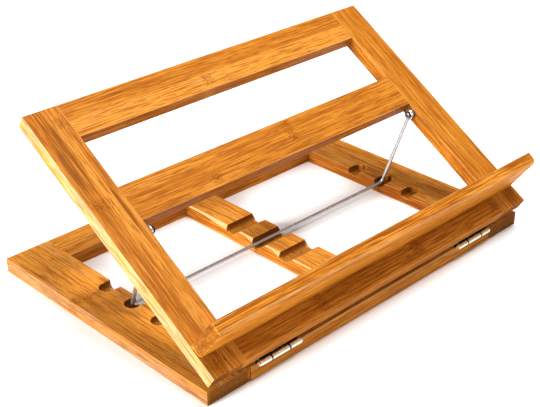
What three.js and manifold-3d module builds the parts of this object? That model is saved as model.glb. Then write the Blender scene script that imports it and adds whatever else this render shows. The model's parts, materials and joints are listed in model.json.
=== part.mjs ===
// Folding bamboo stand that holds a photo album or a book open at a slant.
// A slatted panel is hinged to the front of a flat base, and a wire bail under
// the panel props it in one of three rows of notches.
//
// Units are millimetres. X runs to the right of a reader in front of the stand,
// Y to the rear and Z up. The origin is on the table, under the middle of the base.

import * as THREE from 'three';
import { mergeVertices } from 'three/addons/utils/BufferGeometryUtils.js';
import Module from 'manifold-3d';

const wasm = await Module();
wasm.setup();

// ---------------------------------------------------------------- dimensions

const frameWidth = 340;          // both frames, side to side
const stock = 11;                // thickness of every bamboo rail
const clearance = 0.3;           // between pieces that only touch

const baseDepth = 231;
const baseSideWidth = 38;
const baseCrossWidth = 31;       // front rail, rear rail and centre bar
const frontRailProud = 0.5;      // the front rail stands out past the side rails' ends
const chamferInward = 1.8;       // along both top edges of the centre bar
const chamferDown = 3.5;

const notchCount = 3;
const notchPitch = 30;
const nearestNotch = 90.6;       // from the front of the base to that notch's rear wall
const notchFloor = 4.4;          // height of the lowest point above the table
const notchRadius = 4.95;        // of the round floor
const notchWidth = 15.1;         // across the mouth of a notch in the centre bar
const slotWidth = 12.6;          // across the mouth of a blind slot in a side rail
const slotReach = 14;            // from a side rail's inner face to the slot's round end

const panelLength = 226;
const panelSideWidth = 29;
const panelCrossWidth = 30;      // top, middle and bottom rails
const middleRailFront = 119.5;   // from the panel's front edge
const tilt = THREE.MathUtils.degToRad(31.8);

const ledgeLength = 339;
const ledgeThickness = 10;
const ledgeHeight = 35.6;
const ledgeRear = 26.1;          // from the panel's front edge to the ledge's rear face
const ledgeLean = THREE.MathUtils.degToRad(3.9);
const ledgeRound = 3.5;          // along the top edge and both ends of the front face

const pinForward = 3.2;          // hinge axis in front of the closed frames
const closedGap = 3;             // between the closed frames, for the hinge leaves
const pinRadius = 1;
const knuckleRadius = 2;
const leafThickness = 1;
const leafWidth = 16;            // from the hinge axis to the leaf's far edge
const hingeLength = 38;
const hingeCentreX = 107.5;
const middleKnuckle = 17;        // length of the panel leaf's knuckle
const hingeScrewX = 11;          // from the hinge's middle
const hingeScrewY = 10;          // from the hinge axis

const wireRadius = 1.5;
const bendRadius = 4.5;          // of the bail's two lower corners
const eyeRadius = 2.9;           // middle of the wire in the bail's eyes
const eyeFromFront = 112.8;      // from the panel's front edge to the bail's pivots
const restAngle = THREE.MathUtils.degToRad(-55);  // where the crossbar lies on a notch's floor

const dowelRadius = 3;
const dowelLength = 20;
const dowelSpread = 8;           // from a rail's middle to either of its two dowels

const washerRadius = 4;
const washerThickness = 0.6;
const ledgeScrewX = 110;         // from the middle screw to either outer one

// Fasteners: shank radius, head radius, head thickness and overall length.
const hingeScrew = { shank: 1.2, head: 2.4, headDepth: 1.1, length: 9 };
const eyeScrew = { shank: 1.1, head: 2.9, headDepth: 1.8, length: 18 };
const ledgeScrew = { shank: 1.6, head: 3.2, headDepth: 2, length: 28 };

// Numbers of sides of the round shapes.
const fineSides = 24;
const plainSides = 12;

// ---------------------------------------------------------------- places

const halfWidth = frameWidth / 2;
const front = -baseDepth / 2;
const rear = baseDepth / 2;
const baseInner = halfWidth - baseSideWidth;
const panelInner = halfWidth - panelSideWidth;
const centreHalf = baseCrossWidth / 2;
const notchRears = Array.from({ length: notchCount }, (_, i) => front + nearestNotch + i * notchPitch);

// The hinge axis, and the panel's own frame: its origin is on that axis.
const pinY = front - pinForward;
const pinZ = stock + closedGap / 2;
const underside = closedGap / 2;
const face = underside + stock;
const panelFront = pinForward;

// The bail's pivots, in the panel's frame and then in the stand's.
const eyeY = panelFront + eyeFromFront;
const eyeZ = underside + stock / 2;
const eyeWorldY = pinY + eyeY * Math.cos(tilt) - eyeZ * Math.sin(tilt);
const eyeWorldZ = pinZ + eyeY * Math.sin(tilt) + eyeZ * Math.cos(tilt);

// The crossbar lies in the middle notch, on its round floor.
const crossbarReach = notchRadius - wireRadius - clearance;
const crossbarY = notchRears[1] - notchRadius + crossbarReach * Math.cos(restAngle);
const crossbarZ = notchFloor + notchRadius + crossbarReach * Math.sin(restAngle);
const armLength = Math.hypot(crossbarY - eyeWorldY, crossbarZ - eyeWorldZ);
const armSwing = Math.atan2(crossbarY - eyeWorldY, eyeWorldZ - crossbarZ);

const washerOuterX = panelInner - clearance;
const armX = washerOuterX - washerThickness - clearance - wireRadius;
const eyeHeadX = armX - wireRadius - clearance;

// ---------------------------------------------------------------- materials

const bamboo = new THREE.MeshStandardMaterial({ color: 0xd68a42, roughness: 0.45, metalness: 0 });
const ledgeBamboo = new THREE.MeshStandardMaterial({ color: 0xc97a33, roughness: 0.42, metalness: 0 });
const dowelWood = new THREE.MeshStandardMaterial({ color: 0xd9b27a, roughness: 0.7, metalness: 0 });
const steelWire = new THREE.MeshStandardMaterial({ color: 0xc8c8cc, roughness: 0.15, metalness: 1 });
const nickel = new THREE.MeshStandardMaterial({ color: 0xd9d2bf, roughness: 0.3, metalness: 1 });
const zincScrew = new THREE.MeshStandardMaterial({ color: 0xb4b4b0, roughness: 0.35, metalness: 1 });

// ---------------------------------------------------------------- solids

const axisX = new THREE.Vector3(1, 0, 0);
const axisY = new THREE.Vector3(0, 1, 0);
const axisZ = new THREE.Vector3(0, 0, 1);

// A closed three.js geometry as a manifold solid.
function solid(geometry) {
  const bare = geometry.clone();
  bare.deleteAttribute('normal');
  bare.deleteAttribute('uv');
  const merged = mergeVertices(bare, 1e-4);
  const corners = merged.index.array;
  const triangles = [];
  for (let i = 0; i < corners.length; i += 3) {
    const [a, b, c] = corners.subarray(i, i + 3);
    if (a !== b && b !== c && c !== a) triangles.push(a, b, c);
  }
  return new wasm.Manifold(new wasm.Mesh({
    numProp: 3,
    vertProperties: new Float32Array(merged.attributes.position.array),
    triVerts: new Uint32Array(triangles),
  }));
}

// A manifold solid as a three.js geometry with flat faces.
function geometryOf(body) {
  const mesh = body.getMesh();
  const geometry = new THREE.BufferGeometry();
  geometry.setAttribute('position', new THREE.BufferAttribute(new Float32Array(mesh.vertProperties), 3));
  geometry.setIndex(new THREE.BufferAttribute(new Uint32Array(mesh.triVerts), 1));
  geometry.computeVertexNormals();
  return geometry;
}

// A box between two opposite corners, in either order.
function block([x0, y0, z0], [x1, y1, z1]) {
  const geometry = new THREE.BoxGeometry(Math.abs(x1 - x0), Math.abs(y1 - y0), Math.abs(z1 - z0));
  geometry.translate((x0 + x1) / 2, (y0 + y1) / 2, (z0 + z1) / 2);
  return solid(geometry);
}

// A round rod between two points.
function rod(start, end, radius, sides = fineSides) {
  const from = new THREE.Vector3(...start);
  const along = new THREE.Vector3(...end).sub(from);
  const geometry = new THREE.CylinderGeometry(radius, radius, along.length(), sides);
  geometry.applyQuaternion(new THREE.Quaternion().setFromUnitVectors(axisY, along.clone().normalize()));
  geometry.translate(...from.addScaledVector(along, 0.5).toArray());
  return solid(geometry);
}

// An outline in the YZ plane, drawn out along X.
function prismX(outline, x0, x1) {
  const geometry = new THREE.ExtrudeGeometry(outline, { depth: x1 - x0, bevelEnabled: false, curveSegments: 6 });
  geometry.applyMatrix4(new THREE.Matrix4().makeBasis(axisY, axisZ, axisX));
  geometry.translate(x0, 0, 0);
  return solid(geometry);
}

// An outline in the XY plane, drawn out along Z.
function prismZ(outline, z0, z1) {
  const geometry = new THREE.ExtrudeGeometry(outline, { depth: z1 - z0, bevelEnabled: false, curveSegments: 6 });
  geometry.translate(0, 0, z0);
  return solid(geometry);
}

function outlineOf(points) {
  return new THREE.Shape(points.map(([x, y]) => new THREE.Vector2(x, y)));
}

// A named piece, placed in its group.
function piece(group, name, body, material, place = [0, 0, 0]) {
  const geometry = body instanceof THREE.BufferGeometry ? body : geometryOf(body);
  const mesh = new THREE.Mesh(geometry, material);
  mesh.name = name;
  mesh.position.set(...place);
  group.add(mesh);
  return mesh;
}

// ---------------------------------------------------------------- screws

// A solid turned about the Z axis from [radius, height] points, the first and
// the last of them on the axis.
function turned(points) {
  const profile = points.map(([radius, height]) => new THREE.Vector2(radius, height));
  const geometry = new THREE.LatheGeometry(profile, fineSides);
  geometry.rotateX(Math.PI / 2);
  return solid(geometry);
}

// A countersunk screw that points down, with the top of its head at zero.
// Grown by the clearance all round, it is the hole that the screw goes in.
function countersunkScrew(size, grow = 0) {
  const tip = -size.length - grow;
  return turned([
    [0, tip],
    [size.shank + grow, tip],
    [size.shank + grow, -size.headDepth],
    [size.head + grow, 0],
    [size.head + grow, grow],
    [0, grow],
  ]);
}

// A pan-head screw that points down, with the underside of its head at zero.
function panHeadScrew(size) {
  return turned([
    [0, -size.length],
    [size.shank, -size.length],
    [size.shank, 0],
    [size.head, 0],
    [size.head, size.headDepth * 0.6],
    [size.head * 0.7, size.headDepth],
    [0, size.headDepth],
  ]);
}

// ---------------------------------------------------------------- dowelled joints

const dowelGeometry = geometryOf(rod([-dowelLength / 2, 0, 0], [dowelLength / 2, 0, 0], dowelRadius, plainSides));

// The dowels of one frame. Each joint is where the end of a cross rail meets
// another rail: its middle point and whether the dowels run along Y.
function makeDowels(group, prefix, joints) {
  for (const { name, at: [x, y, z], alongY } of joints) {
    for (const [number, side] of [[1, -1], [2, 1]]) {
      const offset = side * dowelSpread;
      const place = alongY ? [x + offset, y, z] : [x, y + offset, z];
      const dowel = piece(group, `${prefix}_dowel_${name}_${number}`, dowelGeometry, dowelWood, place);
      if (alongY) dowel.rotation.z = Math.PI / 2;
    }
  }
}

// Cuts the dowel holes of every joint that the rail takes part in.
function drillDowels(rail, joints) {
  const half = dowelLength / 2 + clearance;
  let drilled = rail;
  for (const { at: [x, y, z], alongY } of joints) {
    for (const offset of [-dowelSpread, dowelSpread]) {
      const start = alongY ? [x + offset, y - half, z] : [x - half, y + offset, z];
      const end = alongY ? [x + offset, y + half, z] : [x + half, y + offset, z];
      drilled = drilled.subtract(rod(start, end, dowelRadius + clearance, plainSides));
    }
  }
  return drilled;
}

// ---------------------------------------------------------------- base frame

// The side of a notch: an upright rear wall, a round floor and a ramp that
// climbs forward to the top of the rail.
function notchOutline(rearY, mouth) {
  const centre = new THREE.Vector2(rearY - notchRadius, notchFloor + notchRadius);
  const rampTop = new THREE.Vector2(rearY - mouth, stock);
  const toCentre = centre.clone().sub(rampTop);
  const rampAngle = toCentre.angle() - Math.asin(notchRadius / toCentre.length());
  const outline = new THREE.Shape();
  outline.moveTo(rearY, stock + 1);
  outline.lineTo(rearY, centre.y);
  outline.absarc(centre.x, centre.y, notchRadius, 0, rampAngle - Math.PI / 2, true);
  outline.lineTo(rampTop.x, rampTop.y);
  outline.lineTo(rampTop.x, stock + 1);
  return outline;
}

// A blind slot in a side rail: the notch's shape, open to the rail's inner face
// and rounded at its far end. Side is 1 on the right and -1 on the left.
function blindSlot(side, rearY) {
  const radius = slotWidth / 2;
  const roundX = side * (baseInner + slotReach - radius);
  const mouthX = side * (baseInner - 1);
  const middleY = rearY - radius;
  const plan = block([mouthX, rearY - slotWidth, 0], [roundX, rearY, stock + 1])
    .add(rod([roundX, middleY, 0], [roundX, middleY, stock + 1], radius));
  return prismX(notchOutline(rearY, slotWidth), -halfWidth, halfWidth).intersect(plan);
}

const crossMiddleFront = front + baseCrossWidth / 2;
const crossMiddleRear = rear - baseCrossWidth / 2;
const baseJoints = [
  { name: 'front_left', at: [-baseInner, crossMiddleFront, stock / 2] },
  { name: 'front_right', at: [baseInner, crossMiddleFront, stock / 2] },
  { name: 'rear_left', at: [-baseInner, crossMiddleRear, stock / 2] },
  { name: 'rear_right', at: [baseInner, crossMiddleRear, stock / 2] },
  { name: 'centre_front', at: [0, front + baseCrossWidth, stock / 2], alongY: true },
  { name: 'centre_rear', at: [0, rear - baseCrossWidth, stock / 2], alongY: true },
];

function baseSideRail(side) {
  let rail = block([side * baseInner, front, 0], [side * halfWidth, rear, stock]);
  for (const rearY of notchRears) rail = rail.subtract(blindSlot(side, rearY));
  return drillDowels(rail, baseJoints);
}

function baseRearRail() {
  return drillDowels(block([-baseInner, rear - baseCrossWidth, 0], [baseInner, rear, stock]), baseJoints);
}

// The front rail carries the base leaves of the hinges on its top.
function baseFrontRail() {
  let rail = block([-baseInner, front - frontRailProud, 0], [baseInner, front + baseCrossWidth, stock]);
  rail = drillDowels(rail, baseJoints);
  const hole = countersunkScrew(hingeScrew, clearance);
  for (const hingeX of [-hingeCentreX, hingeCentreX]) {
    for (const offset of [-hingeScrewX, hingeScrewX]) {
      rail = rail.subtract(hole.translate([hingeX + offset, pinY + hingeScrewY, stock + leafThickness]));
    }
  }
  return rail;
}

function baseCentreBar() {
  const section = outlineOf([
    [-centreHalf, 0],
    [centreHalf, 0],
    [centreHalf, stock - chamferDown],
    [centreHalf - chamferInward, stock],
    [-centreHalf + chamferInward, stock],
    [-centreHalf, stock - chamferDown],
  ]);
  const length = baseDepth - 2 * baseCrossWidth;
  const geometry = new THREE.ExtrudeGeometry(section, { depth: length, bevelEnabled: false });
  geometry.rotateX(Math.PI / 2);
  geometry.translate(0, rear - baseCrossWidth, 0);
  let bar = solid(geometry);
  for (const rearY of notchRears) {
    bar = bar.subtract(prismX(notchOutline(rearY, notchWidth), -baseCrossWidth, baseCrossWidth));
  }
  return drillDowels(bar, baseJoints);
}

// ---------------------------------------------------------------- panel frame

const panelJoints = [
  ['bottom', panelFront + panelCrossWidth / 2],
  ['middle', panelFront + middleRailFront + panelCrossWidth / 2],
  ['top', panelFront + panelLength - panelCrossWidth / 2],
].flatMap(([name, y]) => [
  { name: `${name}_left`, at: [-panelInner, y, underside + stock / 2] },
  { name: `${name}_right`, at: [panelInner, y, underside + stock / 2] },
]);

const ledgeMiddle = panelFront + ledgeRear - ledgeThickness / 2;
const ledgeScrewPlaces = [-ledgeScrewX, 0, ledgeScrewX];

// A side rail of the panel, drilled for the bail's pivot screw.
function panelSideRail(side) {
  const rail = block([side * panelInner, panelFront, underside], [side * halfWidth, panelFront + panelLength, face]);
  const screwEnd = side * (eyeHeadX + eyeScrew.length + clearance);
  const screwHole = rod([side * eyeHeadX, eyeY, eyeZ], [screwEnd, eyeY, eyeZ], eyeScrew.shank + clearance);
  return drillDowels(rail, panelJoints).subtract(screwHole);
}

function panelCrossRail(fromFront) {
  const y = panelFront + fromFront;
  return drillDowels(block([-panelInner, y, underside], [panelInner, y + panelCrossWidth, face]), panelJoints);
}

// A countersunk screw that points up, with the face of its head at zero.
function upwardScrew(size, grow = 0) {
  return countersunkScrew(size, grow).rotate([180, 0, 0]);
}

// The bottom rail takes the hinges' panel leaves and the ledge's screws from below.
function panelBottomRail() {
  let rail = panelCrossRail(0);
  for (const x of ledgeScrewPlaces) {
    rail = rail.subtract(upwardScrew(ledgeScrew, clearance).translate([x, ledgeMiddle, underside]));
  }
  for (const hingeX of [-hingeCentreX, hingeCentreX]) {
    for (const offset of [-hingeScrewX, hingeScrewX]) {
      const place = [hingeX + offset, hingeScrewY, underside - clearance - leafThickness];
      rail = rail.subtract(upwardScrew(hingeScrew, clearance).translate(place));
    }
  }
  return rail;
}

// The ledge that the pages stand on. Its own frame leans forward and has its
// origin at the foot of the rear face, and its foot is cut to the panel's slope.
function pageLedge() {
  const side = new THREE.Shape();
  side.moveTo(0, 0);
  side.lineTo(0, ledgeHeight);
  side.lineTo(ledgeRound - ledgeThickness, ledgeHeight);
  side.absarc(ledgeRound - ledgeThickness, ledgeHeight - ledgeRound, ledgeRound, Math.PI / 2, Math.PI, false);
  side.lineTo(-ledgeThickness, ledgeThickness * Math.tan(ledgeLean));
  const half = ledgeLength / 2;
  const plan = new THREE.Shape();
  plan.moveTo(-half, 0);
  plan.lineTo(-half, ledgeRound - ledgeThickness);
  plan.absarc(ledgeRound - half, ledgeRound - ledgeThickness, ledgeRound, Math.PI, Math.PI * 1.5, false);
  plan.absarc(half - ledgeRound, ledgeRound - ledgeThickness, ledgeRound, Math.PI * 1.5, 0, false);
  plan.lineTo(half, 0);
  const ledge = prismX(side, -half, half).intersect(prismZ(plan, 0, ledgeHeight));
  return drillLedge(ledge);
}

// The ledge's three screw holes stand square to the panel, so they lean back here.
function drillLedge(ledge) {
  const lean = THREE.MathUtils.radToDeg(ledgeLean);
  const foot = ledgeMiddle - (panelFront + ledgeRear);
  let drilled = ledge;
  for (const x of ledgeScrewPlaces) {
    const hole = upwardScrew(ledgeScrew, clearance).translate([x, foot, underside - face - clearance]);
    drilled = drilled.subtract(hole.rotate([-lean, 0, 0]));
  }
  return drilled;
}

// ---------------------------------------------------------------- hinges

// One leaf of a butt hinge, about its axis: a plate behind the axis with the
// knuckles of that leaf. Each knuckle is its start and end along X.
function hingeLeaf(plateBottom, knuckles, grow) {
  const half = hingeLength / 2;
  const clearOfBarrel = knuckleRadius + clearance;
  let leaf = block([-half, clearOfBarrel, plateBottom], [half, leafWidth, plateBottom + leafThickness]);
  for (const [start, end] of knuckles) {
    leaf = leaf.add(rod([start, 0, 0], [end, 0, 0], knuckleRadius));
    leaf = leaf.add(block([start, 0, plateBottom], [end, clearOfBarrel + 1, plateBottom + leafThickness]));
  }
  leaf = leaf.subtract(rod([-half - 1, 0, 0], [half + 1, 0, 0], pinRadius + clearance));
  for (const x of [-hingeScrewX, hingeScrewX]) leaf = leaf.subtract(grow.translate([x, hingeScrewY, 0]));
  return leaf;
}

const outerKnuckles = [
  [-hingeLength / 2, -middleKnuckle / 2],
  [middleKnuckle / 2, hingeLength / 2],
];
const innerKnuckle = [[clearance - middleKnuckle / 2, middleKnuckle / 2 - clearance]];

const baseLeafBottom = -closedGap / 2;
const panelLeafBottom = underside - clearance - leafThickness;
const baseLeafTop = baseLeafBottom + leafThickness;

function baseLeaf() {
  const hole = countersunkScrew(hingeScrew, clearance).translate([0, 0, baseLeafTop]);
  return hingeLeaf(baseLeafBottom, outerKnuckles, hole);
}

function panelLeaf() {
  const hole = upwardScrew(hingeScrew, clearance).translate([0, 0, panelLeafBottom]);
  return hingeLeaf(panelLeafBottom, innerKnuckle, hole);
}

// A pin with a low head at each end, along X.
function hingePin() {
  const half = hingeLength / 2 + clearance;
  const headLength = 1;
  const headRadius = 1.6;
  return rod([-half, 0, 0], [half, 0, 0], pinRadius)
    .add(rod([-half - headLength, 0, 0], [-half, 0, 0], headRadius))
    .add(rod([half, 0, 0], [half + headLength, 0, 0], headRadius));
}

// ---------------------------------------------------------------- bail

// One corner of the bail, a quarter turn of wire from the crossbar up into an arm.
function bailCorner(side) {
  const centre = new THREE.Vector3(side * (armX - bendRadius), 0, bendRadius - armLength);
  class QuarterTurn extends THREE.Curve {
    getPoint(t, target = new THREE.Vector3()) {
      const angle = t * Math.PI / 2;
      return target.set(side * Math.sin(angle), 0, -Math.cos(angle)).multiplyScalar(bendRadius).add(centre);
    }
  }
  const section = new THREE.Shape();
  section.absarc(0, 0, wireRadius, 0, Math.PI * 2, false);
  const options = { steps: 8, curveSegments: plainSides / 2, bevelEnabled: false, extrudePath: new QuarterTurn() };
  return solid(new THREE.ExtrudeGeometry(section, options));
}

// The bail in its own frame: the pivots are on the X axis and the arms hang down.
function supportBail() {
  const cornerX = armX - bendRadius;
  const overlap = 0.2;
  let bail = rod([-cornerX - overlap, 0, -armLength], [cornerX + overlap, 0, -armLength], wireRadius, plainSides);
  for (const side of [-1, 1]) {
    const foot = [side * armX, 0, bendRadius - armLength - overlap];
    const arm = rod(foot, [side * armX, 0, -eyeRadius], wireRadius, plainSides);
    const ring = new THREE.TorusGeometry(eyeRadius, wireRadius, plainSides, fineSides);
    ring.rotateY(Math.PI / 2);
    ring.translate(side * armX, 0, 0);
    bail = bail.add(bailCorner(side)).add(arm).add(solid(ring));
  }
  return bail;
}

function washer() {
  return rod([0, 0, 0], [washerThickness, 0, 0], washerRadius)
    .subtract(rod([-1, 0, 0], [washerThickness + 1, 0, 0], eyeScrew.shank + clearance));
}

// ---------------------------------------------------------------- assembly

const stand = new THREE.Group();

const base = new THREE.Group();
stand.add(base);
piece(base, 'base_left_rail', baseSideRail(-1), bamboo);
piece(base, 'base_right_rail', baseSideRail(1), bamboo);
piece(base, 'base_rear_rail', baseRearRail(), bamboo);
piece(base, 'base_front_rail', baseFrontRail(), bamboo);
piece(base, 'base_centre_bar', baseCentreBar(), bamboo);
makeDowels(base, 'base', baseJoints);

const panel = new THREE.Group();
panel.position.set(0, pinY, pinZ);
panel.rotation.x = tilt;
stand.add(panel);
piece(panel, 'panel_left_rail', panelSideRail(-1), bamboo);
piece(panel, 'panel_right_rail', panelSideRail(1), bamboo);
piece(panel, 'panel_top_rail', panelCrossRail(panelLength - panelCrossWidth), bamboo);
piece(panel, 'panel_middle_rail', panelCrossRail(middleRailFront), bamboo);
piece(panel, 'panel_bottom_rail', panelBottomRail(), bamboo);
makeDowels(panel, 'panel', panelJoints);

const ledge = piece(panel, 'page_ledge', pageLedge(), ledgeBamboo, [0, panelFront + ledgeRear, face + clearance]);
ledge.rotation.x = ledgeLean;
const ledgeScrewGeometry = geometryOf(upwardScrew(ledgeScrew));
ledgeScrewPlaces.forEach((x, i) => {
  piece(panel, `ledge_screw_${i + 1}`, ledgeScrewGeometry, zincScrew, [x, ledgeMiddle, underside]);
});

// Both hinges: the base leaf and the pin belong to the base, the other leaf to the panel.
const baseLeafGeometry = geometryOf(baseLeaf());
const panelLeafGeometry = geometryOf(panelLeaf());
const pinGeometry = geometryOf(hingePin());
const downScrewGeometry = geometryOf(countersunkScrew(hingeScrew));
const upScrewGeometry = geometryOf(upwardScrew(hingeScrew));
for (const [name, x] of [['left', -hingeCentreX], ['right', hingeCentreX]]) {
  piece(base, `hinge_${name}_base_leaf`, baseLeafGeometry, nickel, [x, pinY, pinZ]);
  piece(base, `hinge_${name}_pin`, pinGeometry, nickel, [x, pinY, pinZ]);
  piece(panel, `hinge_${name}_panel_leaf`, panelLeafGeometry, nickel, [x, 0, 0]);
  for (const [number, offset] of [[1, -hingeScrewX], [2, hingeScrewX]]) {
    const downPlace = [x + offset, pinY + hingeScrewY, pinZ + baseLeafTop];
    const upPlace = [x + offset, hingeScrewY, panelLeafBottom];
    piece(base, `hinge_${name}_base_screw_${number}`, downScrewGeometry, zincScrew, downPlace);
    piece(panel, `hinge_${name}_panel_screw_${number}`, upScrewGeometry, zincScrew, upPlace);
  }
}

// The bail turns on two screws in the panel's side rails.
const washerGeometry = geometryOf(washer());
const eyeScrewGeometry = geometryOf(panHeadScrew(eyeScrew));
for (const [name, side] of [['left', -1], ['right', 1]]) {
  const washerX = side > 0 ? washerOuterX - washerThickness : -washerOuterX;
  piece(panel, `bail_washer_${name}`, washerGeometry, zincScrew, [washerX, eyeY, eyeZ]);
  const screw = piece(panel, `bail_screw_${name}`, eyeScrewGeometry, zincScrew, [side * eyeHeadX, eyeY, eyeZ]);
  screw.rotation.y = -side * Math.PI / 2;
}

const bailPivot = new THREE.Group();
bailPivot.position.set(0, eyeY, eyeZ);
bailPivot.rotation.x = armSwing - tilt;
panel.add(bailPivot);
piece(bailPivot, 'support_bail', supportBail(), steelWire);

export default stand;
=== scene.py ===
import json
import math

import bmesh
import bpy
from mathutils import Matrix, Vector


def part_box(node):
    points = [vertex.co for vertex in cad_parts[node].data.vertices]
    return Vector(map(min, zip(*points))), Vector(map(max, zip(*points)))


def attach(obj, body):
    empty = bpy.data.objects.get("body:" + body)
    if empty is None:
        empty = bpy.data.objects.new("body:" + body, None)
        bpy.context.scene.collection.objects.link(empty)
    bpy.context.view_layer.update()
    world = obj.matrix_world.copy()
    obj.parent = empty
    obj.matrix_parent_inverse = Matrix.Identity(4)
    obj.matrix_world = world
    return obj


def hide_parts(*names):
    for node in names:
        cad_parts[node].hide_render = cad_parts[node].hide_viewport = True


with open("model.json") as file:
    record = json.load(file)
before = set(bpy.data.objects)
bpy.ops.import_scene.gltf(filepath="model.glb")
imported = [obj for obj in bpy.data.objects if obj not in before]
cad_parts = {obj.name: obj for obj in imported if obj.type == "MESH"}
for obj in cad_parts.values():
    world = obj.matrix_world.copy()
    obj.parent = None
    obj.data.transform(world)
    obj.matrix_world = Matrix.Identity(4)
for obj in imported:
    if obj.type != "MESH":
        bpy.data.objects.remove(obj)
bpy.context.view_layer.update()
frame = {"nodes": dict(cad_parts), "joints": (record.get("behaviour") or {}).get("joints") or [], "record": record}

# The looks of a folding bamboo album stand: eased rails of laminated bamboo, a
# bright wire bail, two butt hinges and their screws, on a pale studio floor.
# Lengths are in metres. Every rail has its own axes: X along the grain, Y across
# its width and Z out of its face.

# ---------------------------------------------------------------- places

MM = 0.001
AXIS_X = Vector((1, 0, 0))
AXIS_Y = Vector((0, 1, 0))
AXIS_Z = Vector((0, 0, 1))

mounts = {mount["name"]: mount for mount in frame["record"]["mounts"]}
joints = {joint["name"]: joint for joint in frame["joints"]}
face_normal = Vector(mounts["panel_face"]["axis"])
panel_tilt = math.atan2(-face_normal.y, face_normal.z)
shelf_normal = Vector(mounts["ledge_shelf"]["axis"])
ledge_tilt = math.atan2(shelf_normal.z, shelf_normal.y) + math.pi / 2

ALONG_X = Matrix.Identity(4)
ALONG_Y = Matrix.Rotation(math.pi / 2, 4, "Z")
PANEL_TURN = Matrix.Rotation(panel_tilt, 4, "X")


def extent(node, turn):
    """The node's lowest and highest corners, measured along the turned axes."""
    back = turn.inverted()
    points = [back @ vertex.co for vertex in frame["nodes"][node].data.vertices]
    low = Vector(map(min, zip(*points)))
    high = Vector(map(max, zip(*points)))
    return low, high


# ---------------------------------------------------------------- node trees

class Graph:
    """A material's node tree, with a short call for each kind of node."""

    def __init__(self, name):
        self.material = bpy.data.materials.new(name)
        self.material.use_nodes = True
        self.tree = self.material.node_tree
        self.shader = self.tree.nodes["Principled BSDF"]

    def node(self, kind, inputs=(), **settings):
        made = self.tree.nodes.new(kind)
        for key, value in settings.items():
            setattr(made, key, value)
        for socket, value in dict(inputs).items():
            self.put(made.inputs[socket], value)
        return made

    def put(self, socket, value):
        if isinstance(value, bpy.types.NodeSocket):
            self.tree.links.new(value, socket)
        else:
            socket.default_value = value

    def set(self, **sockets):
        """Sets the shader's sockets. Underscores in a keyword stand for spaces."""
        for name, value in sockets.items():
            self.put(self.shader.inputs[name.replace("_", " ")], value)

    def math(self, operation, a, b=0.0, clamp=False):
        made = self.node("ShaderNodeMath", operation=operation, use_clamp=clamp)
        self.put(made.inputs[0], a)
        self.put(made.inputs[1], b)
        return made.outputs[0]

    def plus(self, a, b, clamp=False):
        return self.math("ADD", a, b, clamp)

    def minus(self, a, b, clamp=False):
        return self.math("SUBTRACT", a, b, clamp)

    def times(self, a, b):
        return self.math("MULTIPLY", a, b)

    def absolute(self, value):
        return self.math("ABSOLUTE", value)

    def centred(self, value):
        """A number from 0 to 1, moved so that its middle is at zero."""
        return self.minus(value, 0.5)

    def coordinates(self, kind):
        return self.node("ShaderNodeTexCoord").outputs[kind]

    def parts(self, vector):
        """The vector's X, Y and Z."""
        return self.node("ShaderNodeSeparateXYZ", {0: vector}).outputs

    def ramp(self, value, low, high):
        """0 up to low, 1 from high on and smooth between them. With low above high
        it runs the other way."""
        made = self.node("ShaderNodeMapRange", interpolation_type="SMOOTHSTEP")
        for socket, number in ((0, value), (1, low), (2, high)):
            self.put(made.inputs[socket], number)
        return made.outputs[0]

    def scaled(self, vector, factors, shift=(0, 0, 0)):
        """The vector times the factors, and then moved by the shift."""
        inputs = {0: vector, 1: factors, 2: shift}
        return self.node("ShaderNodeVectorMath", inputs, operation="MULTIPLY_ADD").outputs[0]

    def noise(self, vector, detail=2.0, roughness=0.5, distortion=0.0):
        inputs = {"Vector": vector, "Scale": 1.0, "Detail": detail}
        inputs.update({"Roughness": roughness, "Distortion": distortion})
        return self.node("ShaderNodeTexNoise", inputs).outputs["Fac"]

    def random(self, value):
        """A number from 0 to 1 that is another one for each value."""
        made = self.node("ShaderNodeTexWhiteNoise", {"W": value}, noise_dimensions="1D")
        return made.outputs["Value"]

    def mix(self, factor, a, b):
        made = self.node("ShaderNodeMix", data_type="RGBA")
        for socket, value in ((0, factor), (6, a), (7, b)):
            self.put(made.inputs[socket], value)
        return made.outputs[2]

    def bump(self, height, strength, distance):
        inputs = {"Height": height, "Strength": strength, "Distance": distance}
        return self.node("ShaderNodeBump", inputs).outputs["Normal"]


def linear(level):
    """One part of an sRGB colour, from 0 to 255, in the shader's own scale."""
    if level > 10:
        return ((level / 255 + 0.055) / 1.055) ** 2.4
    return level / 255 / 12.92


def colour(red, green, blue):
    """An sRGB colour, with parts from 0 to 255, for a shader."""
    return (linear(red), linear(green), linear(blue), 1.0)


# ---------------------------------------------------------------- bamboo

FIBRE_DARK = colour(132, 67, 10)
FIBRE_MAIN = colour(196, 121, 34)
FIBRE_PALE = colour(226, 151, 58)
# The next colour is for worn edges, and also for painted highlights and painted light on the lightest faces.
EDGE_PALE = colour(198, 162, 112)
GLUE_LINE = colour(126, 66, 18)
KNOT_BROWN = colour(116, 56, 10)
END_BROWN = colour(100, 54, 10)
STAIN_BROWN = colour(112, 60, 5)
CUT_BROWN = colour(96, 50, 10)

LAYER = 3.7 * MM            # thickness of the layers that a rail is glued from
RIM = 1.6 * MM              # how far from a long edge the wood is worn
MAIN_LIGHT = 0.66           # how light the wood is where nothing changes it


def knot_mask(g, place, spot):
    """Where the mark is that a bamboo's node leaves across one strip. Spot is its
    place along and across the rail and the half width of the strip."""
    at, middle, half = (value * MM for value in spot)
    along, across, _ = g.parts(place)
    offset = g.minus(across, middle)
    curve = g.times(g.times(offset, offset), 22.0)
    distance = g.absolute(g.minus(g.minus(along, at), curve))
    near = g.ramp(distance, 7.0 * MM, 1.5 * MM)
    inside = g.ramp(g.absolute(offset), half * 1.05, half * 0.8)
    return g.times(near, inside)


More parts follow.
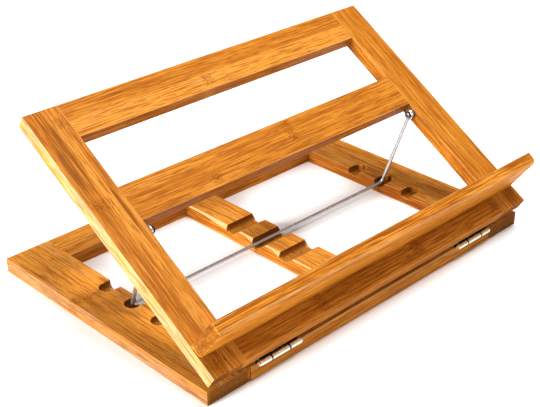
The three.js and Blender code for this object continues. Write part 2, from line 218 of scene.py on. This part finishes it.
def stain_mask(g, place, spot):
    """A dark streak. Spot is its place, its half length and its half width."""
    at, middle, long, wide = (value * MM for value in spot)
    along, across, _ = g.parts(place)
    x = g.math("DIVIDE", g.minus(along, at), long)
    y = g.math("DIVIDE", g.minus(across, middle), wide)
    reach = g.plus(g.times(x, x), g.times(y, y))
    return g.ramp(reach, 1.0, 0.1)


def strip_layout(g, place, size, seed, shift, strip, extras):
    """How light each strip is, and where the glue round it shows. The strips lie
    beside each other in layers. Extras are added to single strips' lightness."""
    _, across, through = g.parts(place)
    wander = g.times(g.centred(g.noise(g.scaled(place, (9, 1, 1), shift))), 1.6 * MM)
    strip_place = g.math("DIVIDE", g.plus(g.plus(across, size.y / 2), wander), strip * MM)
    layer_place = g.math("DIVIDE", g.plus(through, size.z / 2), LAYER)
    strip_number = g.math("FLOOR", strip_place)
    layer_number = g.math("FLOOR", layer_place)
    lot = g.plus(g.times(strip_number, 3.17), g.times(layer_number, 7.91))
    shade = g.times(g.centred(g.random(g.plus(lot, seed * 11.3))), 0.22)
    for number, extra in enumerate(extras):
        chosen = g.math("COMPARE", strip_number, float(number))
        chosen.node.inputs[2].default_value = 0.5
        shade = g.plus(shade, g.times(chosen, extra))
    strip_edge = g.absolute(g.centred(g.math("FRACT", strip_place)))
    layer_edge = g.absolute(g.centred(g.math("FRACT", layer_place)))
    glue = g.math("MAXIMUM", g.ramp(strip_edge, 0.475, 0.496), g.ramp(layer_edge, 0.45, 0.49))
    return shade, glue


def fibres(g, place, knot, shift):
    """Noises drawn out along the grain: broad bands, lines and hairs. They sway a
    little, and bend beside a knot."""
    ripple = g.centred(g.noise(g.scaled(place, (260, 260, 260), shift)))
    bend = g.times(g.times(ripple, knot), 3 * MM)
    sway = g.times(g.centred(g.noise(g.scaled(place, (12, 60, 60), shift))), 2.5 * MM)
    moved = g.node("ShaderNodeCombineXYZ", {1: g.plus(bend, sway), 2: bend}).outputs[0]
    bent = g.node("ShaderNodeVectorMath", {0: place, 1: moved}, operation="ADD").outputs[0]
    broad = g.noise(g.scaled(bent, (7, 150, 150), shift), 2.0)
    lines = g.noise(g.scaled(bent, (24, 760, 760), shift), 2.0, 0.55)
    hairs = g.noise(g.scaled(bent, (75, 1500, 1500), shift), 1.0, 0.6)
    return broad, lines, hairs


def wood_colour(g, light):
    """The wood's colour from a number for how light it is."""
    wood = g.mix(g.ramp(light, 0.0, MAIN_LIGHT), FIBRE_DARK, FIBRE_MAIN)
    wood = g.mix(g.ramp(light, 0.62, 1.1), wood, FIBRE_PALE)
    return g.mix(g.ramp(light, 1.3, 1.6), wood, EDGE_PALE)


def worn_and_lit_edges(g, place, facing, size, drift):
    """The long edges and the slanted faces between them, pale in places: partly rubbed
    wear, partly a painted highlight on the edges and painted light on the slanted faces.
    """
    _, across, through = g.parts(place)
    rim_y = g.ramp(g.absolute(across), size.y / 2 - RIM, size.y / 2)
    rim_z = g.ramp(g.absolute(through), size.z / 2 - RIM, size.z / 2)
    rim = g.times(g.times(rim_y, rim_z), 0.7)
    slanted = g.times(g.ramp(g.absolute(facing[1]), 0.5, 0.6), g.ramp(facing[2], 0.25, 0.35))
    return g.times(g.math("MAXIMUM", rim, slanted), g.ramp(drift, 0.1, 0.4))


def cut_faces(g, place, facing, size):
    """The faces cut into the rail by its notches: below its top, and in from its sides."""
    _, across, through = g.parts(place)
    inside = g.ramp(g.absolute(across), size.y / 2 - 1.5 * MM, size.y / 2 - 3 * MM)
    below = g.ramp(through, size.z / 2 - 0.3 * MM, size.z / 2 - 1.2 * MM)
    return g.times(g.times(inside, below), g.ramp(facing[2], -0.8, -0.5))


def end_grain(g, place, wood, shade, ends, shift):
    """The colour of cut fibre bundles, darker in the darker layers."""
    bundle_place = g.scaled(place, (900, 1150, 1500), shift)
    bundles = g.node("ShaderNodeTexVoronoi", {"Vector": bundle_place, "Scale": 1.0})
    dots = g.ramp(bundles.outputs["Distance"], 0.42, 0.2)
    layered = g.minus(ends, g.times(shade, 1.2), clamp=True)
    return g.mix(g.times(dots, 0.7 * ends), g.mix(layered, wood, END_BROWN), KNOT_BROWN)


def bamboo(name, size, seed, strip=15, tone=0.0, sides=(0.0, 0.0), strips=(), knots=(), stains=(),
           rub=0.22, ends=0.68):
    """Laminated bamboo for one rail of that size. Strip is the strips' width in
    millimetres. Tone lightens or darkens the rail, partly as its own colour and partly
    as painted light and shade; sides paints light and shade on the faces across its
    -Y and +Y, and strips lightens or darkens single strips from its -Y edge. Knots and
    stains are spots. The rubbing and highlight strength is how pale the long edges and
    slanted faces are, partly as wear and partly as painted highlight and light, and
    ends is how dark the end grain is."""
    g = Graph(name)
    place = g.coordinates("Object")
    facing = g.parts(g.coordinates("Normal"))
    shift = (seed * 3.7, seed * 5.3, seed * 7.1)
    knot = 0.0
    for spot in knots:
        knot = g.math("MAXIMUM", knot, knot_mask(g, place, spot))
    shade, glue = strip_layout(g, place, size, seed, shift, strip, strips)
    broad, lines, hairs = fibres(g, place, knot, shift)
    drift = g.noise(g.scaled(place, (16, 40, 40), shift), 2.0)

    # How light the wood is, from the strips, the slow changes, the tone (partly painted
    # light and shade) and the painted light and shade on the faces across -Y and +Y.
    light = g.plus(shade, MAIN_LIGHT + tone)
    for value, share in ((broad, 1.3), (drift, 0.9)):
        light = g.plus(light, g.times(g.centred(value), share))
    near_side = g.ramp(facing[1], -0.92, -0.98)
    far_side = g.ramp(facing[1], 0.92, 0.98)
    for face, extra in zip((near_side, far_side), sides):
        light = g.plus(light, g.times(face, extra))
    wood = wood_colour(g, light)

    # Dark vessels and pale fibres along the grain, and the glue between the strips.
    vessel = g.ramp(lines, 0.54, 0.59)
    hair = g.ramp(hairs, 0.53, 0.58)
    wood = g.mix(g.times(vessel, 0.6), wood, FIBRE_DARK)
    wood = g.mix(g.times(hair, 0.6), wood, FIBRE_DARK)
    wood = g.mix(g.times(g.ramp(lines, 0.46, 0.36), 0.6), wood, FIBRE_PALE)
    wood = g.mix(g.times(glue, 0.5), wood, GLUE_LINE)

    # Dark streaks, and the speckles of the knots.
    for spot in stains:
        stain = g.times(stain_mask(g, place, spot), g.ramp(drift, 0.3, 0.5))
        wood = g.mix(g.times(stain, 0.8), wood, STAIN_BROWN)
    speckle = g.ramp(g.noise(g.scaled(place, (520, 950, 950), shift), 1.5, 0.6, 1.6), 0.5, 0.58)
    spots = g.times(knot, speckle)
    wood = g.mix(g.times(knot, 0.14), wood, FIBRE_DARK)
    wood = g.mix(g.times(spots, 0.7), wood, KNOT_BROWN)

    # Pale edges and slanted faces, partly wear and partly painted highlight and light;
    # darkened notches and the end grain.
    wear_and_light = worn_and_lit_edges(g, place, facing, size, drift)
    wood = g.mix(g.times(wear_and_light, rub), wood, EDGE_PALE)
    wood = g.mix(g.times(cut_faces(g, place, facing, size), 0.6), wood, CUT_BROWN)
    end_face = g.ramp(g.absolute(facing[0]), 0.6, 0.85)
    wood = g.mix(end_face, wood, end_grain(g, place, wood, shade, ends, shift))

    rough = g.plus(0.46, g.times(g.centred(lines), 0.3))
    rough = g.plus(rough, g.times(g.plus(spots, end_face, clamp=True), 0.2))
    rough = g.minus(rough, g.times(wear_and_light, 0.08))
    relief = g.plus(g.times(vessel, 0.5), g.times(hair, 0.3))
    relief = g.plus(relief, g.plus(g.times(spots, 0.5), g.times(glue, 0.6)))
    g.set(Base_Color=wood, Roughness=rough, Normal=g.bump(g.minus(1.0, relief), 0.4, 0.12 * MM))
    g.set(Coat_Weight=0.01, Coat_Roughness=0.3, Specular_IOR_Level=0.03)
    return g.material


def plain_wood(name):
    """Turned beech for the dowels, with its grain along X."""
    g = Graph(name)
    place = g.coordinates("Object")
    grain = g.noise(g.scaled(place, (120, 900, 900)), 3.0, 0.6)
    pores = g.noise(g.scaled(place, (500, 2600, 2600), (4, 1, 2)), 1.0)
    wood = g.mix(g.ramp(grain, 0.3, 0.7), colour(196, 156, 104), colour(226, 190, 138))
    wood = g.mix(g.times(g.ramp(pores, 0.6, 0.7), 0.5), wood, colour(150, 108, 66))
    g.set(Base_Color=wood, Roughness=g.plus(0.55, g.times(grain, 0.2)))
    g.set(Normal=g.bump(grain, 0.3, 0.1 * MM))
    return g.material


# ---------------------------------------------------------------- metals

# The dark colour of painted shade on metal.
METAL_PAINTED_SHADE = colour(28, 18, 8)
GLANCE_TINT = colour(90, 84, 78)        # of reflections along a metal's outline
FINE_MARKS = (1400, 1400, 1400)         # even in every direction
LONG_MARKS = (200, 900, 900)            # drawn out along X


def metal(name, bright, dull, rough, marks_scale, wear=0.25, metallic=1.0, shade_painter=None):
    """Plated metal, with its colours where it is bright and where it is dull. The shade
    painter, if given, takes the node tree and the place, and gives where shade is
    painted on in a dark colour."""
    g = Graph(name)
    place = g.coordinates("Object")
    marks = g.noise(g.scaled(place, marks_scale), 3.0, 0.6)
    clouds = g.noise(g.scaled(place, (160, 160, 160), (3, 9, 1)), 3.0, 0.6)
    pits = g.ramp(g.noise(g.scaled(place, (1700, 1700, 1700)), 1.0), 0.68, 0.76)
    tarnish = g.times(g.ramp(clouds, 0.5, 0.72), wear)
    skin = g.mix(g.plus(tarnish, g.times(pits, 0.25), clamp=True), bright, dull)
    roughness = g.plus(rough, g.times(g.centred(marks), 0.18))
    roughness = g.plus(roughness, g.times(tarnish, 0.25))
    # Painted shade: where the shade painter gives it, the metal is darker and rougher.
    if shade_painter:
        painted_shade = shade_painter(g, place)
        skin = g.mix(painted_shade, skin, METAL_PAINTED_SHADE)
        roughness = g.plus(roughness, g.times(painted_shade, 0.4))
    g.set(Base_Color=skin, Metallic=metallic, Roughness=roughness, Specular_Tint=GLANCE_TINT)
    g.set(Normal=g.bump(g.minus(marks, pits), 0.06, 0.03 * MM))
    return g.material


def recess_painted_shade(axis):
    """Painted shade in the driver's cross of a screw whose axis is that one, and at its rim."""
    def shade_painter(g, place):
        parts = list(g.parts(place))
        parts.pop(axis)
        squares = [g.times(part, part) for part in parts]
        reach = g.math("SQRT", g.plus(*squares))
        cross = g.ramp(reach, 0.9 * MM, 0.45 * MM)
        rim = g.ramp(reach, 2.45 * MM, 2.8 * MM)
        return g.math("MAXIMUM", cross, rim)
    return shade_painter


def hinge_painted_shade(g, place):
    """Painted shade in the joints between a hinge's knuckles, and in the corner behind them."""
    along, across, _ = g.parts(place)
    knuckle_end = 8.5 * MM
    from_joint = g.absolute(g.minus(g.absolute(along), knuckle_end))
    joint = g.ramp(from_joint, 0.9 * MM, 0.5 * MM)
    corner = g.times(g.ramp(across, -6.0 * MM, -5.4 * MM), g.ramp(across, -0.5 * MM, -3.0 * MM))
    patchy = g.ramp(g.noise(g.scaled(place, (300, 900, 900)), 2.0), 0.2, 0.45)
    return g.times(g.math("MAXIMUM", joint, corner), patchy)


NICKEL_COLOURS = (colour(255, 250, 230), colour(206, 190, 158))
SCREW_COLOURS = (colour(196, 194, 188), colour(120, 114, 106))
# The pivots' and the washers' colours are darker copies of the screws' zinc: painted shade.
PIVOT_COLOURS = (colour(160, 156, 150), colour(96, 90, 82))
WASHER_COLOURS = (colour(138, 134, 128), colour(84, 78, 70))
WIRE_COLOURS = (colour(208, 212, 214), colour(150, 148, 146))

wire_steel = metal("wire_steel", *WIRE_COLOURS, 0.24, LONG_MARKS, wear=0.2, metallic=0.86)
nickel = metal("nickel", *NICKEL_COLOURS, 0.3, LONG_MARKS)
hinge_nickel = metal("hinge_nickel", *NICKEL_COLOURS, 0.3, LONG_MARKS, shade_painter=hinge_painted_shade)
zinc = metal("zinc", *WASHER_COLOURS, 0.3, FINE_MARKS)
zinc_screw = metal("zinc_screw", *SCREW_COLOURS, 0.3, FINE_MARKS, shade_painter=recess_painted_shade(2))
zinc_pivot = metal("zinc_pivot", *PIVOT_COLOURS, 0.3, FINE_MARKS, shade_painter=recess_painted_shade(0))
beech = plain_wood("beech")


# ---------------------------------------------------------------- mesh work

ROUNDING_STEPS = 3          # across each eased edge
SHARP_EDGE = 28             # degrees between the faces of an edge that is eased


def new_object(name, mesh, matrix, material, body):
    """A piece that rides on a body, with its material."""
    made = bpy.data.objects.new(name, mesh)
    bpy.context.scene.collection.objects.link(made)
    made.matrix_world = matrix
    mesh.materials.clear()
    mesh.materials.append(material)
    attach(made, body)
    return made


def smooth(mesh, angle):
    """Smooth shading, with edges sharper than the angle left sharp."""
    mesh.shade_smooth()
    mesh.set_sharp_from_angle(angle=math.radians(angle))


def eased(node, matrix, ease):
    """A copy of a CAD node's mesh in the axes of matrix, with its flat faces made
    whole and its sharp edges rounded."""
    mesh = frame["nodes"][node].data.copy()
    mesh.transform(matrix.inverted())
    shape = bmesh.new()
    shape.from_mesh(mesh)
    bmesh.ops.remove_doubles(shape, verts=shape.verts, dist=0.002 * MM)
    bmesh.ops.dissolve_limit(shape, angle_limit=math.radians(0.5), verts=shape.verts, edges=shape.edges)
    limit = math.radians(SHARP_EDGE)
    corners = [edge for edge in shape.edges if edge.is_manifold and edge.calc_face_angle() > limit]
    bmesh.ops.bevel(shape, geom=corners, offset=ease, segments=ROUNDING_STEPS, profile=0.5,
                    affect="EDGES", clamp_overlap=True)
    shape.to_mesh(mesh)
    shape.free()
    smooth(mesh, 40)
    return mesh


def flatten_normals(piece):
    """Keeps the broad faces flat where they meet a rounded edge."""
    weighted = piece.modifiers.new("flat faces", "WEIGHTED_NORMAL")
    weighted.keep_sharp = True
    weighted.weight = 100
    return piece


def cross_cutter(tip, facing, span, width, depth):
    """A block with a plus for its outline, from depth below the tip to as far above it."""
    turn = facing.to_track_quat("Z", "Y").to_matrix()
    far = span / 2
    near = width / 2
    outline = [(far, -near), (far, near), (near, near), (near, far), (-near, far), (-near, near)]
    outline += [(-x, -y) for x, y in outline]
    shape = bmesh.new()
    low_ring = [shape.verts.new(tip + turn @ Vector((x, y, -depth))) for x, y in outline]
    high_ring = [shape.verts.new(tip + turn @ Vector((x, y, depth))) for x, y in outline]
    shape.faces.new(low_ring[::-1])
    shape.faces.new(high_ring)
    for step in range(len(outline)):
        after = (step + 1) % len(outline)
        shape.faces.new((low_ring[step], low_ring[after], high_ring[after], high_ring[step]))
    mesh = bpy.data.meshes.new("cutter")
    shape.to_mesh(mesh)
    shape.free()
    return mesh


def crossed(mesh, facing, size):
    """The screw's mesh with a driver's cross cut into its head. Facing is the way
    that the head faces, and size is the screw's own size."""
    reach = sum(abs(part * whole) for part, whole in zip(facing, size)) / 2
    head = sorted(size)[1] / 2
    block = cross_cutter(facing * reach, facing, span=head * 1.15, width=head * 0.26, depth=head * 0.32)
    cutter = bpy.data.objects.new("cutter", block)
    screw = bpy.data.objects.new("screw", mesh)
    for thing in (cutter, screw):
        bpy.context.scene.collection.objects.link(thing)
    cut = screw.modifiers.new("cross", "BOOLEAN")
    cut.operation = "DIFFERENCE"
    cut.solver = "EXACT"
    cut.object = cutter
    evaluated = screw.evaluated_get(bpy.context.evaluated_depsgraph_get())
    result = bpy.data.meshes.new_from_object(evaluated)
    for thing in (cutter, screw):
        bpy.data.objects.remove(thing)
    smooth(result, 40)
    return result


def finished(node, turn, body, material, ease, recess=None):
    """A CAD node's finished copy, in the turned axes at its own middle. Recess is
    the direction that a screw's head faces, for the cross cut into it."""
    low, high = extent(node, turn)
    matrix = turn @ Matrix.Translation((low + high) / 2)
    mesh = eased(node, matrix, ease)
    if recess:
        mesh = crossed(mesh, Vector(recess), high - low)
    made = new_object(f"{node}_finished", mesh, matrix, material, body)
    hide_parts(node)
    return flatten_normals(made)


# ---------------------------------------------------------------- rails

def rail(node, turn, body, ease=0.6 * MM, slot="bamboo", **looks):
    """One bamboo rail, in its own axes at its own middle."""
    low, high = extent(node, turn)
    finished(node, turn, body, bamboo(f"bamboo_{node}", high - low, **looks), ease)


def base_rails():
    """The flat frame. Its side rails lie along Y."""
    # Painted light and shade: sides lighten the left rail's outer face and darken one side face of each of the
    # others, the raised tones make up for the panel's shade on the base, the right rail's lower tone darkens it,
    # and the centre bar's strong pale edges paint light on its chamfers.
    rail("base_left_rail", ALONG_Y, "base", strip=19, seed=1, tone=0.6, sides=(0, 0.27),
         knots=[(30, 14, 5.5), (26, 2, 6)])
    rail("base_right_rail", ALONG_Y, "base", strip=19, seed=2, tone=0.34, sides=(0, -0.95), ends=0.85)
    rail("base_rear_rail", ALONG_X, "base", seed=3, tone=0.34, sides=(-0.36, 0))
    rail("base_front_rail", ALONG_X, "base", seed=4, tone=0.0, rub=0.6)
    rail("base_centre_bar", ALONG_Y, "base", ease=0.35 * MM, seed=5, tone=0.5, sides=(0, -0.85), rub=0.9)


def panel_rails():
    """The slanted frame that carries the album."""
    side = PANEL_TURN @ ALONG_Y
    # Painted light and shade: sides lighten the left rail's outer face, towards the key lamp, and darken the right
    # rail's inner face.
    rail("panel_left_rail", side, "panel", seed=6, tone=-0.04, strips=(0.2, -0.16), sides=(0, 1.15),
         knots=[(28, 4, 9), (98, -8, 5), (-104, 5, 8)],
         stains=[(78, 1, 36, 3.2), (62, 8, 26, 4), (20, -9, 30, 2)])
    rail("panel_right_rail", side, "panel", seed=7, tone=-0.03, strips=(-0.1, 0.05), sides=(0, -0.3))
    rail("panel_top_rail", PANEL_TURN, "panel", seed=8, tone=-0.08, strips=(0.5, -0.14),
         knots=[(-16, -6, 5.5)])
    rail("panel_middle_rail", PANEL_TURN, "panel", seed=9, tone=0.0,
         knots=[(16, 4, 9.5), (-68, -9, 5)])
    rail("panel_bottom_rail", PANEL_TURN, "panel", seed=10, tone=-0.04,
         knots=[(-64, -6, 7), (41, -5, 7), (137, -5, 6)])


def page_ledge():
    """The ledge that the album's lower edge stands on, leaning a little outwards."""
    turn = Matrix.Rotation(ledge_tilt, 4, "X")
    # Painted shade: sides darken one long face of the ledge.
    rail("page_ledge", turn, "panel", ease=0.4 * MM, slot="ledge_bamboo", strip=19, seed=11,
         tone=-0.05, sides=(0, -0.3), rub=0.3, ends=0.1)


base_rails()
panel_rails()
page_ledge()


# ---------------------------------------------------------------- hinges and screws

SIDES = {"left": -1, "right": 1}        # the way to each side along X


def screw(node, turn, body, ease, recess, material=zinc_screw):
    finished(node, turn, body, material, ease, recess)


def hinges():
    """Two butt hinges, each with its pin and four countersunk screws."""
    for side in SIDES:
        hinge = f"hinge_{side}"
        finished(f"{hinge}_base_leaf", ALONG_X, "base", hinge_nickel, 0.12 * MM)
        finished(f"{hinge}_panel_leaf", PANEL_TURN, "panel", hinge_nickel, 0.12 * MM)
        finished(f"{hinge}_pin", ALONG_X, "base", nickel, 0.45 * MM)
        for number in (1, 2):
            screw(f"{hinge}_base_screw_{number}", ALONG_X, "base", 0.15 * MM, (0, 0, 1))
            screw(f"{hinge}_panel_screw_{number}", PANEL_TURN, "panel", 0.15 * MM, (0, 0, -1))


def ledge_screws():
    for number in (1, 2, 3):
        screw(f"ledge_screw_{number}", PANEL_TURN, "panel", 0.2 * MM, (0, 0, -1))


def bail_pivots():
    """The screw and the washer that each end of the bail turns on."""
    for side, way in SIDES.items():
        screw(f"bail_screw_{side}", PANEL_TURN, "panel", 0.5 * MM, (-way, 0, 0), zinc_pivot)
        finished(f"bail_washer_{side}", PANEL_TURN, "panel", zinc, 0.12 * MM)


hinges()
ledge_screws()
bail_pivots()


# ---------------------------------------------------------------- bail

def tube_along(points, radius):
    """A closed round tube through points that don't set off along Z, with flat ends."""
    shape = bmesh.new()
    rings = []
    count = len(points)
    sides = 20
    normal = AXIS_Z
    for number, point in enumerate(points):
        ahead = points[min(number + 1, count - 1)]
        behind = points[max(number - 1, 0)]
        along = (ahead - behind).normalized()
        normal = (normal - along * normal.dot(along)).normalized()
        side = along.cross(normal)
        ring = []
        for step in range(sides):
            angle = 2 * math.pi * step / sides
            outwards = normal * math.cos(angle) + side * math.sin(angle)
            ring.append(shape.verts.new(point + outwards * radius))
        rings.append(ring)
    for first, second in zip(rings, rings[1:]):
        for step in range(sides):
            after = (step + 1) % sides
            shape.faces.new((first[step], first[after], second[after], second[step]))
    shape.faces.new(list(reversed(rings[0])))
    shape.faces.new(rings[-1])
    bmesh.ops.recalc_face_normals(shape, faces=shape.faces)
    mesh = bpy.data.meshes.new("tube")
    shape.to_mesh(mesh)
    shape.free()
    smooth(mesh, 50)
    return mesh


def arc(centre, start, quarter, from_angle, to_angle, steps):
    """Points on an arc: start and quarter are the radius vectors at 0 and at 90 degrees."""
    points = []
    for step in range(steps + 1):
        angle = from_angle + (to_angle - from_angle) * step / steps
        points.append(centre + start * math.cos(angle) + quarter * math.sin(angle))
    return points


def bezier(start, first, second, end, steps):
    """Points on a cubic curve, without its first."""
    points = []
    for step in range(1, steps + 1):
        t = step / steps
        u = 1 - t
        points.append(start * u ** 3 + first * 3 * u * u * t + second * 3 * u * t * t + end * t ** 3)
    return points


def bail():
    """One bent wire: an eye, an arm, the crossbar, the other arm and its eye."""
    wire = 1.5 * MM
    eye = 2.9 * MM
    bend = 4.5 * MM
    neck = 7 * MM
    pivot = Vector(joints["bail_swing"]["pos_m"])
    arm_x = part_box("support_bail")[1].x - wire

    # The crossbar's own points, between the two bends, give its place.
    straight = [vertex.co for vertex in frame["nodes"]["support_bail"].data.vertices
                if abs(vertex.co.x) < arm_x - bend + MM]
    low = Vector(map(min, zip(*straight)))
    high = Vector(map(max, zip(*straight)))
    hang = (low + high) / 2 - pivot
    hang.x = 0
    length = hang.length
    down = hang.normalized()

    # The wire's own axes: its middle is on the pivots' line, and Z runs up the arms.
    turn = Matrix((AXIS_X, AXIS_X.cross(down), -down)).transposed().to_4x4()
    matrix = Matrix.Translation(pivot) @ turn

    def half(side):
        """Points from the wire's free end, round its eye and down one arm to the bend."""
        pivot_end = Vector((side * arm_x, 0, 0))
        corner = Vector((side * (arm_x - bend), 0, bend - length))
        wire_end = math.radians(-35)
        neck_side = math.radians(235)
        round_eye = arc(pivot_end, AXIS_Y * eye, AXIS_Z * eye, wire_end, neck_side, 28)
        leaving = (round_eye[-1] - round_eye[-2]).normalized() * eye * 0.55
        neck_end = pivot_end - AXIS_Z * neck
        joining = bezier(round_eye[-1], round_eye[-1] + leaving, neck_end + AXIS_Z * eye * 0.7, neck_end, 8)
        turning = arc(corner, AXIS_X * side * bend, -AXIS_Z * bend, 0, math.pi / 2, 8)
        return round_eye + joining + turning

    mesh = tube_along(half(1) + half(-1)[::-1], wire)
    made = new_object("bail_wire", mesh, matrix, wire_steel, "bail")
    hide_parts("support_bail")


bail()


# ---------------------------------------------------------------- camera and light

def aim(thing, target):
    """Turns a lamp or the camera towards the target."""
    thing.rotation_mode = "QUATERNION"
    thing.rotation_quaternion = (Vector(target) - thing.location).to_track_quat("-Z", "Y")


def camera():
    data = bpy.data.cameras.new("camera")
    data.lens = 75.0
    data.sensor_width = 36.0
    made = bpy.data.objects.new("camera", data)
    bpy.context.scene.collection.objects.link(made)
    made.location = (-0.5433, -0.5523, 0.4585)
    aim(made, (0.0114, 0.0118, 0.0300))
    bpy.context.scene.camera = made


def area_light(name, place, target, size, power):
    """A round white lamp. Size is its diameter, and power is in watts."""
    data = bpy.data.lights.new(name, "AREA")
    data.shape = "DISK"
    data.size = size
    data.energy = power
    made = bpy.data.objects.new(name, data)
    bpy.context.scene.collection.objects.link(made)
    made.location = place
    aim(made, target)


def studio():
    """Soft light from all round, a key light at the left, one above and a weak one in front."""
    scene = bpy.context.scene
    scene.view_settings.view_transform = "Standard"
    world = bpy.data.worlds.new("studio")
    world.use_nodes = True
    background = world.node_tree.nodes["Background"]
    background.inputs["Color"].default_value = (1, 1, 1, 1)
    background.inputs["Strength"].default_value = 0.34
    scene.world = world
    area_light("key_left", (-1.8, 0.3, 0.55), (0, 0, 0.05), 0.8, 60)
    area_light("top", (0.3, -0.3, 1.7), (0, 0, 0), 0.8, 36)
    area_light("front_fill", (-0.1, -1.8, 0.5), (0, 0, 0.05), 1.0, 7)


def floor():
    """A pale sheet just below the stand."""
    mesh = bpy.data.meshes.new("floor")
    half = 4.0
    level = -0.1 * MM
    corners = [(-half, -half, level), (half, -half, level), (half, half, level), (-half, half, level)]
    mesh.from_pydata(corners, [], [(0, 1, 2, 3)])
    made = bpy.data.objects.new("floor", mesh)
    bpy.context.scene.collection.objects.link(made)
    g = Graph("floor")
    place = g.coordinates("Object")
    cloud = g.noise(g.scaled(place, (3, 3, 3)), 2.0)
    g.set(Base_Color=g.mix(cloud, colour(250, 250, 250), colour(253, 253, 253)), Roughness=0.8)
    mesh.materials.append(g.material)


camera()
studio()
floor()

# ---------------------------------------------------------------- dowels

for name, node in frame["nodes"].items():
    if "dowel" in name:
        node.data.materials.clear()
        node.data.materials.append(beech)
